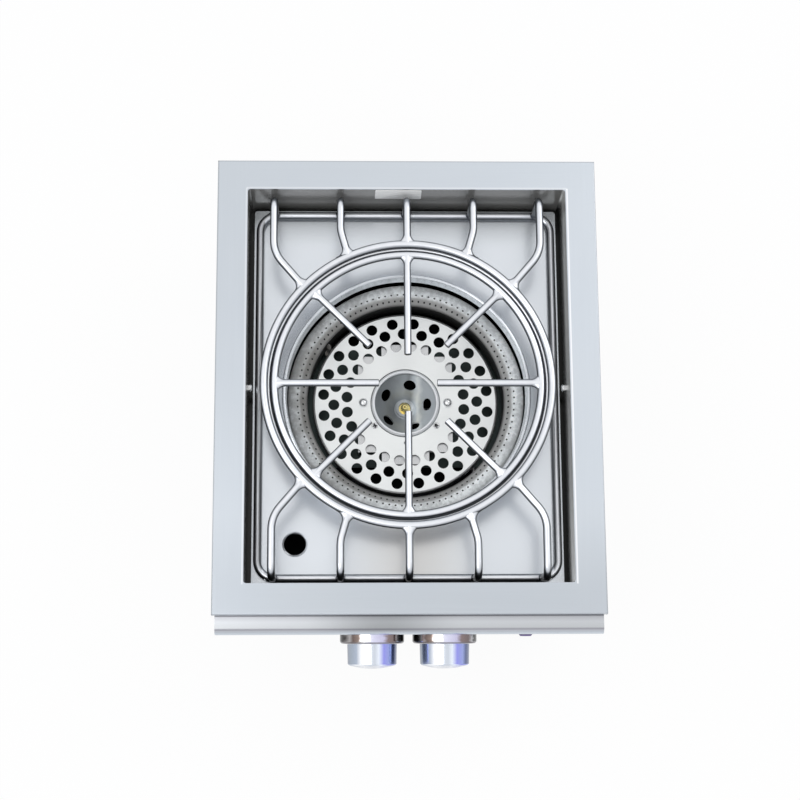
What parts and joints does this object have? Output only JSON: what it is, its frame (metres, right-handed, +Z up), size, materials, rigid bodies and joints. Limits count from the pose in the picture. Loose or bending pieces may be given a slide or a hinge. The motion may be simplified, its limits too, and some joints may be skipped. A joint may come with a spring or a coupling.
{
  "type": "built in side burner",
  "caption": "Drop-in outdoor gas burner: steel rim and liner, lift-out tray, rod grate with a loose wok ring, ring burner, central jet, front panel with two knobs.",
  "frame": {"origin": "middle of the whole object's base, on the underside of the bottom pan", "axes": "+Z up, +Y to the back, +X to the right as seen from the knobs"},
  "size_m": [0.39, 0.5178, 0.245],
  "materials": {
    "brushed_rim": "satin brushed",
    "liner_steel": "bright rolled, darkened by heat",
    "tray_steel": "polished",
    "grate_steel": "electropolished",
    "burner_steel": "satin",
    "disc_steel": "satin",
    "cup_steel": "bright, darkened",
    "bracket_steel": "mill",
    "box_steel": "mill",
    "panel_steel": "satin brushed",
    "chrome_trim": "polished",
    "knob_metal": "polished",
    "glow_lens": "frosted, lit",
    "button_plastic": "satin",
    "black_plastic": "matte",
    "brass": "machined",
    "pipe_steel": "zinc plated",
    "feed_aluminium": "drawn",
    "ceramic": "glazed, sooted",
    "fastener": "plated"
  },
  "bodies": {
    "root": {"top_frame": "brushed_rim", "liner": "liner_steel", "side_studs": "fastener", "outer_box": "box_steel", "bottom_pan": "box_steel", "pan_screws": "fastener", "heat_shield": "box_steel", "ring_burner_cover": "burner_steel", "ring_burner_base": "burner_steel", "ring_standoffs": "bracket_steel", "ring_mixer_tube": "burner_steel", "ring_orifice": "brass", "ring_feed_tube": "feed_aluminium", "diffuser_disc": "disc_steel", "disc_screws": "fastener", "disc_studs": "fastener", "disc_nuts": "fastener", "hat_bracket": "bracket_steel", "burner_bracket": "bracket_steel", "bracket_screws": "fastener", "jet_cup": "cup_steel", "jet_collar": "cup_steel", "jet_orifice": "brass", "jet_holder": "pipe_steel", "jet_feed_tube": "feed_aluminium", "igniter_electrode": "ceramic", "control_panel": "panel_steel", "panel_screws": "fastener", "gas_manifold": "pipe_steel", "inlet_fitting": "brass", "button_housing": "black_plastic", "spark_module": "black_plastic", "left_bezel": "chrome_trim", "left_glow_ring": "glow_lens", "left_valve_bonnet": "brass", "left_valve_body": "brass", "right_bezel": "chrome_trim", "right_glow_ring": "glow_lens", "right_valve_bonnet": "brass", "right_valve_body": "brass"},
    "drip_tray": {"drip_tray": "tray_steel"},
    "grate": {"grate_base_frame": "grate_steel", "grate_legs": "grate_steel", "grate_outer_ring": "grate_steel", "grate_support_ring": "grate_steel"},
    "wok_ring": {"wok_ring": "grate_steel", "wok_prongs": "grate_steel"},
    "left_plug": {"left_valve_plug": "brass"},
    "left_knob": {"left_valve_stem": "pipe_steel", "left_knob": "knob_metal"},
    "right_plug": {"right_valve_plug": "brass"},
    "right_knob": {"right_valve_stem": "pipe_steel", "right_knob": "knob_metal"},
    "light_button": {"light_button": "button_plastic"}
  },
  "joints": [
    {"name": "tray_lift", "type": "slide", "parent": "root", "child": "drip_tray", "axis": [0, 0, 1], "range_m": [0, 0.12]},
    {"name": "grate_lift", "type": "slide", "parent": "drip_tray", "child": "grate", "axis": [0, 0, 1], "range_m": [0, 0.15]},
    {"name": "wok_ring_lift", "type": "slide", "parent": "grate", "child": "wok_ring", "axis": [0, 0, 1], "range_m": [0, 0.1]},
    {"name": "left_knob_turn", "type": "hinge", "parent": "root", "child": "left_plug", "pos_m": [-0.0366, -0.20383, 0.18522], "axis": [0, -0.9925, -0.1219], "range_deg": [0, 210]},
    {"name": "left_knob_push", "type": "slide", "parent": "left_plug", "child": "left_knob", "axis": [0, 0.9925, 0.1219], "range_m": [0, 0.003], "stiffness_N_per_m": 1500, "springref_m": -0.003},
    {"name": "right_knob_turn", "type": "hinge", "parent": "root", "child": "right_plug", "pos_m": [0.0366, -0.20383, 0.18522], "axis": [0, -0.9925, -0.1219], "range_deg": [0, 210]},
    {"name": "right_knob_push", "type": "slide", "parent": "right_plug", "child": "right_knob", "axis": [0, 0.9925, 0.1219], "range_m": [0, 0.003], "stiffness_N_per_m": 1500, "springref_m": -0.003},
    {"name": "light_button_push", "type": "slide", "parent": "root", "child": "light_button", "axis": [0, 0.9925, 0.1219], "range_m": [0, 0.002], "stiffness_N_per_m": 600, "springref_m": -0.002}
  ]
}
